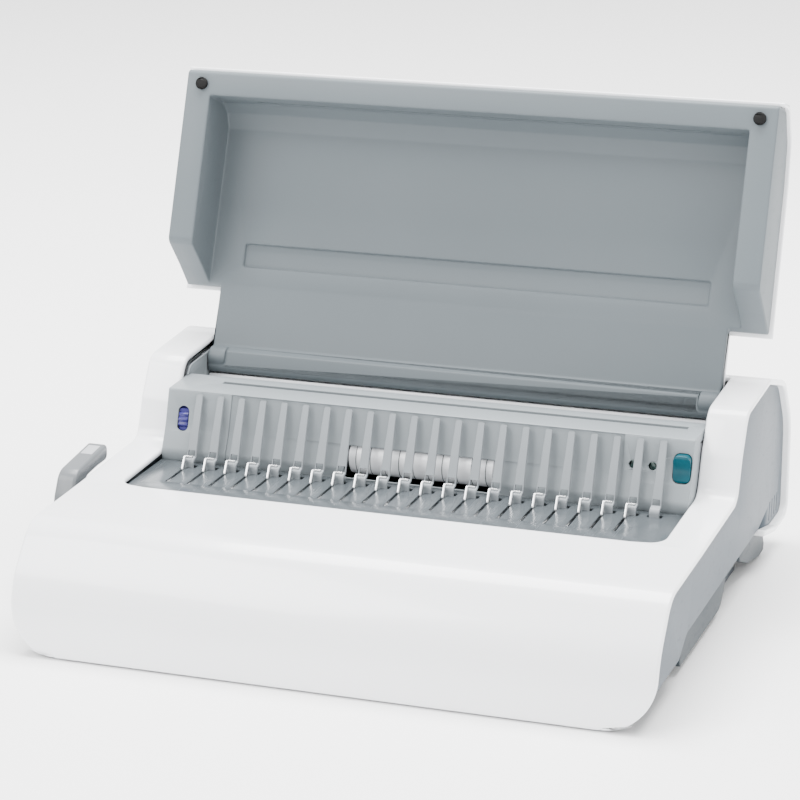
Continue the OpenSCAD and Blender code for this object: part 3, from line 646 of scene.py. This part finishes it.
def tine_mesh(sizes):
    """One comb tine: tab, short shelf, and a long finger with its window and a sunk border."""
    path = rounded_path([(-1.4, 61, 0), (-1.4, 73.2, 1.8), (2.8, 74.4, 2.2), (19.4, 111, 0)])
    stations = [0.0]
    for a, b in zip(path, path[1:]):
        stations.append(stations[-1] + (b - a).length)
    foot, length = stations[-2], stations[-1]
    wide, tip = sizes.tine_width / MM / 2, sizes.tine_tip / MM / 2
    thick = sizes.tine_thickness / MM
    window = (foot + 0.15, foot + 3.7)
    border = (foot + 5.6, length - 1.7)
    ends = [window[0], window[1], border[0] - 0.5, border[0], border[0] + 0.5,
            border[0] + 0.8, border[1] - 0.8, border[1] - 0.5, border[1], border[1] + 0.3]
    tip_rows = [length - 1.3 * (1 - math.sin(math.radians(a))) for a in (0, 30, 50, 66, 80, 90)]
    even = [foot + (length - foot) * k / sizes.tine_rows for k in range(1, sizes.tine_rows)]
    rows = sorted(set(round(r, 4) for r in stations[:-1] + ends + tip_rows + [length]))
    rows += [e for e in even if all(abs(e - r) > 0.35 for r in rows) and e < length - 1.3]
    rows.sort()

    def point(s):
        for k in range(len(path) - 1):
            if s <= stations[k + 1] + 1e-6:
                share = (s - stations[k]) / (stations[k + 1] - stations[k])
                along = (path[k + 1] - path[k]).normalized()
                return path[k].lerp(path[k + 1], share), Vector((along.y, -along.x))
        return path[-1], Vector((along.y, -along.x))

    def half_width(s):
        share = min(max((s - foot) / (length - foot), 0.0), 1.0)
        half = wide + (tip - wide) * share
        rest = s - (length - 1.3)
        return half - 1.3 + math.sqrt(max(1.69 - rest * rest, 0.0)) if rest > 0 else half

    columns = [(-1, 0.35), (-0.9, 0.05), (-0.82, 0), (-0.78, 1), (-0.66, 1), (-0.62, 0),
               (-0.3, 0), (0.3, 0), (0.62, 0), (0.66, 1), (0.78, 1), (0.82, 0), (0.9, 0.05),
               (1, 0.35)]
    bm = bmesh.new()
    front, back = [], []
    for s in rows:
        (y, z), normal = point(s)
        half = half_width(s)
        line = (border[0], border[1])
        in_border = line[0] <= s <= line[1]
        cross = in_border and (s < line[0] + 0.6 or s > line[1] - 0.6)
        fronts, backs = [], []
        for u, sink in columns:
            x = u * half
            deep = sink
            if sink == 1:
                deep = 0.22 if in_border else 0.0
            elif cross and abs(u) < 0.7:
                deep = 0.22 if line[0] + 0.1 < s < line[0] + 0.6 or \
                    line[1] - 0.6 < s < line[1] - 0.1 else 0.0
            fronts.append(bm.verts.new(at(x, y - normal.x * deep, z - normal.y * deep)))
            far = thick - (0.35 if abs(u) == 1 else 0.0)
            backs.append(bm.verts.new(at(x, y - normal.x * far, z - normal.y * far)))
        front.append(fronts)
        back.append(backs)
    holes = set()
    for i in range(len(rows) - 1):
        middle = (rows[i] + rows[i + 1]) / 2
        for k in range(len(columns) - 1):
            if window[0] < middle < window[1] and 3 <= k <= len(columns) - 5:
                holes.add((i, k))
    for i in range(len(rows) - 1):
        for k in range(len(columns) - 1):
            if (i, k) in holes:
                continue
            bm.faces.new((front[i][k], front[i][k + 1], front[i + 1][k + 1], front[i + 1][k]))
            bm.faces.new((back[i][k], back[i + 1][k], back[i + 1][k + 1], back[i][k + 1]))
    bm.edges.ensure_lookup_table()
    twin = {f: b for fs, bs in zip(front, back) for f, b in zip(fs, bs)}
    for edge in [e for e in bm.edges if len(e.link_faces) == 1]:
        a, b = edge.verts
        if a in twin and b in twin:
            bm.faces.new((a, b, twin[b], twin[a]))
    bmesh.ops.recalc_face_normals(bm, faces=bm.faces)
    mesh = bpy.data.meshes.new("tine")
    bm.to_mesh(mesh)
    bm.free()
    mesh.shade_smooth()
    mesh.set_sharp_from_angle(angle=math.radians(38))
    return mesh


# ---- operators ----


class BinderOperator:
    """What every builder shares."""

    bl_options = {"REGISTER", "UNDO"}

    def execute(self, context):
        self.build(context.scene.binder_sizes, context.scene.binder_colours)
        return {"FINISHED"}


class BINDER_OT_finishes(BinderOperator, Operator):
    """Makes the materials and gives every CAD part the one its slot names"""
    bl_idname = "binder.finishes"
    bl_label = "Finishes"

    def build(self, sizes, colours):
        make_finishes(colours)
        for name, node in frame["nodes"].items():
            node.data.materials.clear()
            node.data.materials.append(FINISHES[SLOTS[name]])


class BINDER_OT_cover(BinderOperator, Operator):
    """White shell over the deck, the towers and the rear"""
    bl_idname = "binder.cover"
    bl_label = "Cover"

    def build(self, sizes, colours):
        cover = soft_copy("top_cover", "cover", "chassis", sizes.cover_edge, 4)
        # the front lip is thinner than its rounding, which would push it below its own edge
        for vertex in cover.data.vertices:
            vertex.co.z = max(vertex.co.z, COVER_LOW[2])


class BINDER_OT_panels(BinderOperator, Operator):
    """Side panels, the right one with its vents"""
    bl_idname = "binder.panels"
    bl_label = "Side panels"

    def build(self, sizes, colours):
        soft_copy("side_panel_left", "panel_left", "chassis", sizes.thin_edge)
        soft_copy("side_panel_right", "panel_right", "chassis", sizes.thin_edge)


class BINDER_OT_base(BinderOperator, Operator):
    """Base, feet and screws"""
    bl_idname = "binder.base"
    bl_label = "Base"

    def build(self, sizes, colours):
        soft_copy("base_shell", "base", "chassis", 0.8 * MM)
        soft_copy("rubber_feet", "feet", "chassis", 0.4 * MM)
        soft_copy("cover_screws", "screws", "chassis", 0.08 * MM, 2)
        soft_copy("chip_tray", "chip_drawer", "chip_drawer", 0.8 * MM)


class BINDER_OT_deck(BinderOperator, Operator):
    """Deck plate, fascia and the trough behind it"""
    bl_idname = "binder.deck"
    bl_label = "Deck and fascia"

    def build(self, sizes, colours):
        soft_copy("deck_plate", "deck", "chassis", 0.15 * MM, 2)
        soft_copy("fascia", "fascia_wall", "chassis", 0.2 * MM, 2)
        soft_copy("rear_trough", "trough", "chassis", 0.3 * MM, 2)


class BINDER_OT_comb_row(BinderOperator, Operator):
    """Comb tines and the hooks between them"""
    bl_idname = "binder.comb_row"
    bl_label = "Tines and hooks"

    def build(self, sizes, colours):
        start = Vector(((TINE_SHIFT - TINE_PITCH * (TINE_COUNT - 1) / 2) * MM, 0, 0))
        tines = row_of(tine_mesh(sizes), "tine_row", TINE_COUNT, start, (TINE_PITCH * MM, 0, 0),
                       "tine_silver")
        low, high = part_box("comb_tines")
        bed = rounded_box(low, (high[0], high[1], low[2] + 1.6 * MM), 0.3 * MM, "tine_bed")
        piece = new_piece("tines", joined([tines, bed], "tines"), "tine_silver", "chassis")
        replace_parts(piece, "comb_tines")
        soft_copy("hook_slider", "hooks_and_slide", "hooks", 0.22 * MM, 2)


class BINDER_OT_lever(BinderOperator, Operator):
    """Comb lever with its inset pad"""
    bl_idname = "binder.lever"
    bl_label = "Lever"

    arm = ((-64, 47, 8), (-50, 34, 9), (-40, 45, 8), (-42, 62, 8), (-38, 69, 6), (-22, 70.6, 20),
           (-6.5, 71, 4), (-6.5, 81.5, 3), (-52, 76.5, 12), (-60, 62, 14))

    def build(self, sizes, colours):
        arm = softened(block(self.arm, -214, -201, "arm", 14), "arm", sizes.lever_edge, 5)
        seat = softened(block([(-25, 78.6, 0), (-12, 80, 0), (-12, 90, 0), (-25, 90, 0)],
                              -211.5, -203.5, "seat"), "seat", 1.2 * MM, 3)
        arm = combined(arm, seat)
        hole = turned([(5 * MM, 0), (5 * MM, 16 * MM)], at(-215, -52, 45), (1, 0, 0), "hole")
        arm = creased(combined(arm, hole))
        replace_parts(new_piece("lever_arm", arm, "lever_grey", "lever"), "comb_lever")
        pad = softened(block([(-24.9, 78.7, 0), (-12.1, 80.1, 0), (-12.1, 81.1, 0),
                              (-24.9, 79.7, 0)], -211.4, -203.6, "pad"), "pad", 0.35 * MM, 3)
        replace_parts(new_piece("lever_inset", pad, "pad_grey", "lever"), "lever_pad")


class BINDER_OT_controls(BinderOperator, Operator):
    """Thumbwheel, scale roller, punch button and lamps"""
    bl_idname = "binder.controls"
    bl_label = "Controls"

    def build(self, sizes, colours):
        soft_copy("thumbwheel", "thumb_wheel", "guide_wheel", 0.3 * MM, 2, 30, 30)
        chamfer = 0.6
        drum = turned([(AXLE_R * MM, 0), ((ROLLER_R - chamfer) * MM, 0),
                       (ROLLER_R * MM, chamfer * MM), (ROLLER_R * MM, (ROLLER_L - chamfer) * MM),
                       ((ROLLER_R - chamfer) * MM, ROLLER_L * MM), (AXLE_R * MM, ROLLER_L * MM)],
                      at(-ROLLER_L / 2, ROLLER_Y, ROLLER_Z), (1, 0, 0), "drum", 96)
        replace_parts(new_piece("roller_drum", drum, "white_gloss", "roller"), "scale_roller")
        sunk, proud, wide = (ROLLER_R - 0.1) * MM, (ROLLER_R + 0.04) * MM, 0.5 * MM
        mark = turned([(sunk, 0), (proud, 0), (proud, wide), (sunk, wide)],
                      at(0, ROLLER_Y, ROLLER_Z), (1, 0, 0), "mark", 96)
        marks = row_of(mark, "roller_marks", 10, (-42.25 * MM, 0, 0), (9.35 * MM, 0, 0),
                       "base_grey")
        new_piece("roller_marks", marks, "base_grey", "roller")
        self.button()
        soft_copy("lamp_lenses", "lamps", "chassis", 0.5 * MM)

    def button(self):
        """Teal cap with a hollow face, its flange behind the wall, and a stem to the switch."""
        def plate(wide, high, radius, front, rear, name):
            corners = [(-wide / 2, -high / 2, radius), (wide / 2, -high / 2, radius),
                       (wide / 2, high / 2, radius), (-wide / 2, high / 2, radius)]
            outline = [at(BUTTON_X + x, front, BUTTON_Z + z)
                       for x, z in rounded_path(corners, 10, closed=True)]
            return prism(outline, (0, (rear - front) * MM, 0), name)

        cap = softened(plate(10.6, 16.9, 3.6, 14.2, 24.1, "cap"), "cap", 0.7 * MM, 4)
        hollow = turned([(20 * MM, 0), (20 * MM, 12 * MM)], at(BUTTON_X - 6, -4.6, BUTTON_Z), (1, 0, 0),
                        "hollow", 360)
        cap = combined(cap, hollow)
        flange = plate(10.6, 19.4, 3.6, 24, 25.5, "flange")
        stem = turned([(2 * MM, 0), (2 * MM, 3 * MM)], at(BUTTON_X, 25.5, BUTTON_Z), (0, 1, 0), "stem")
        whole = creased(joined([cap, flange, stem], "button_cap"))
        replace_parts(new_piece("button_cap", whole, "button_teal", "button"), "punch_button")


class BINDER_OT_lid(BinderOperator, Operator):
    """Lid: grey tray, white skin and bumpers"""
    bl_idname = "binder.lid"
    bl_label = "Lid"

    side = ((-92.9, 76.2, 3), (19, 77.4, 6), (31.5, 101, 30), (43.5, 121, 2), (-50, 117.6, 60),
            (-76.5, 112.6, 16), (-94.2, 98, 7))
    neck = ((-40, 114.8, 0), (80, 114.8, 0), (84, 109.5, 2), (97.5, 109.5, 4), (97.5, 122, 4),
            (44, 121.4, 60), (-40, 117.7, 0))
    hollow = ((-77, 60, 0), (46, 60, 0), (46, 114.8, 0), (-62, 114.8, 4), (-72, 109, 4),
              (-77, 100, 4))

    def build(self, sizes, colours):
        self.tray(sizes)
        soft_copy("lid_skin", "lid_outside", "lid", 0.8 * MM)
        soft_copy("lid_bumpers", "bumpers", "lid", 0.6 * MM)

    def tray(self, sizes):
        """Grey inner tray in one piece: broad rim, recess, neck with its barrels, and grooves."""
        outer_x, rim_x, neck_x = 194, 177, 169.1
        barrel_r, barrel_l = 7.5, 12
        tray = block(self.side, -outer_x, outer_x, "lid_inside")
        tray = combined(tray, block(self.neck, -neck_x, neck_x, "neck"), "UNION")
        for x in (-neck_x, 157.1):
            barrel = turned([(barrel_r * MM, 0), (barrel_r * MM, barrel_l * MM)],
                            at(x, 88, 115), (1, 0, 0), "barrel")
            tray = combined(tray, barrel, "UNION")
        tray = combined(tray, block(self.hollow, -rim_x, rim_x, "hollow"))
        tray = combined(tray, slab((-155, 12.5, 111.8), (155, 27.6, 117.4), "strip"))
        tray = softened(tray, "lid_inside", sizes.lid_edge, 4, 40)
        tray = combined(tray, slab((-150, -78.4, 92), (150, -76, 93), "groove"))
        piece = new_piece("lid_inside", opened(creased(tray)), "lid_grey", "lid")
        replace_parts(piece, "lid_tray")


class BINDER_OT_rear(BinderOperator, Operator):
    """Mains inlet and power switch"""
    bl_idname = "binder.rear"
    bl_label = "Rear fittings"

    def build(self, sizes, colours):
        soft_copy("mains_inlet", "inlet", "chassis", 0.3 * MM)
        soft_copy("power_switch", "rocker_cap", "rocker", 0.4 * MM)


class BINDER_OT_stage(BinderOperator, Operator):
    """Floor, soft studio lights and the camera"""
    bl_idname = "binder.stage"
    bl_label = "Studio"

    lens = 133.4
    camera_place = (565, -1619, 656)
    turn_left = math.radians(19.49)
    tilt_down = math.radians(17.13)
    roll = math.radians(-0.34)

    def light(self, name, place, target, size, power, tint=(1, 1, 1)):
        lamp = bpy.data.lights.new(name, "AREA")
        lamp.shape = "RECTANGLE"
        lamp.size, lamp.size_y = size
        lamp.energy = power
        lamp.color = tint
        holder = bpy.data.objects.new(name, lamp)
        holder.location = place
        aim = Vector(target) - Vector(place)
        holder.rotation_euler = aim.to_track_quat("-Z", "Y").to_euler()
        bpy.context.scene.collection.objects.link(holder)

    def build(self, sizes, colours):
        side = sizes.floor_size / 2
        mesh = bpy.data.meshes.new("floor")
        mesh.from_pydata([(-side, -side, 0), (side, -side, 0), (side, side, 0), (-side, side, 0)],
                         [], [(0, 1, 2, 3)])
        mesh.materials.append(floor_paper((0.95, 0.95, 0.95)))
        floor = bpy.data.objects.new("floor", mesh)
        bpy.context.scene.collection.objects.link(floor)
        self.light("Key", (-1.3, -1.5, 1.9), (0, 0, 0.1), (1.6, 1.2), 62)
        self.light("Fill", (1.9, -1.0, 1.1), (0, 0, 0.1), (1.4, 1.4), 7)
        self.light("Top", (0.0, 0.5, 2.2), (0, 0, 0.1), (2.2, 1.4), 210)
        world = bpy.data.worlds.new("Studio")
        world.use_nodes = True
        backdrop = world.node_tree.nodes["Background"]
        backdrop.inputs["Color"].default_value = (1.0, 1.0, 1.0, 1.0)
        backdrop.inputs["Strength"].default_value = 1.7
        bpy.context.scene.world = world
        lens = bpy.data.cameras.new("Camera")
        lens.lens = self.lens
        lens.sensor_width = 36.0
        lens.clip_end = 100.0
        camera = bpy.data.objects.new("Camera", lens)
        bpy.context.scene.collection.objects.link(camera)
        look = (Matrix.Rotation(self.turn_left, 4, "Z")
                @ Matrix.Rotation(math.pi / 2 - self.tilt_down, 4, "X")
                @ Matrix.Rotation(self.roll, 4, "Z"))
        camera.matrix_world = Matrix.Translation(at(*self.camera_place)) @ look
        bpy.context.scene.camera = camera


BUILDERS = (BINDER_OT_finishes, BINDER_OT_cover, BINDER_OT_panels, BINDER_OT_base,
            BINDER_OT_deck, BINDER_OT_comb_row, BINDER_OT_lever, BINDER_OT_controls,
            BINDER_OT_lid, BINDER_OT_rear, BINDER_OT_stage)


class BINDER_PT_panel(Panel):
    """Lists the builders and the values that they use"""
    bl_label = "Comb Binder"
    bl_space_type = "VIEW_3D"
    bl_region_type = "UI"
    bl_category = "Binder"

    def draw(self, context):
        for group in (context.scene.binder_sizes, context.scene.binder_colours):
            box = self.layout.box()
            for name in group.__annotations__:
                box.prop(group, name)
        for builder in BUILDERS:
            self.layout.operator(builder.bl_idname)


CLASSES = (BinderSizes, BinderColours, *BUILDERS, BINDER_PT_panel)


def register():
    for cls in CLASSES:
        bpy.utils.register_class(cls)
    bpy.types.Scene.binder_sizes = PointerProperty(type=BinderSizes)
    bpy.types.Scene.binder_colours = PointerProperty(type=BinderColours)


def unregister():
    del bpy.types.Scene.binder_colours
    del bpy.types.Scene.binder_sizes
    for cls in reversed(CLASSES):
        bpy.utils.unregister_class(cls)


def main():
    register()
    for builder in BUILDERS:
        section, name = builder.bl_idname.split(".")
        getattr(getattr(bpy.ops, section), name)()


if __name__ == "__main__":
    main()
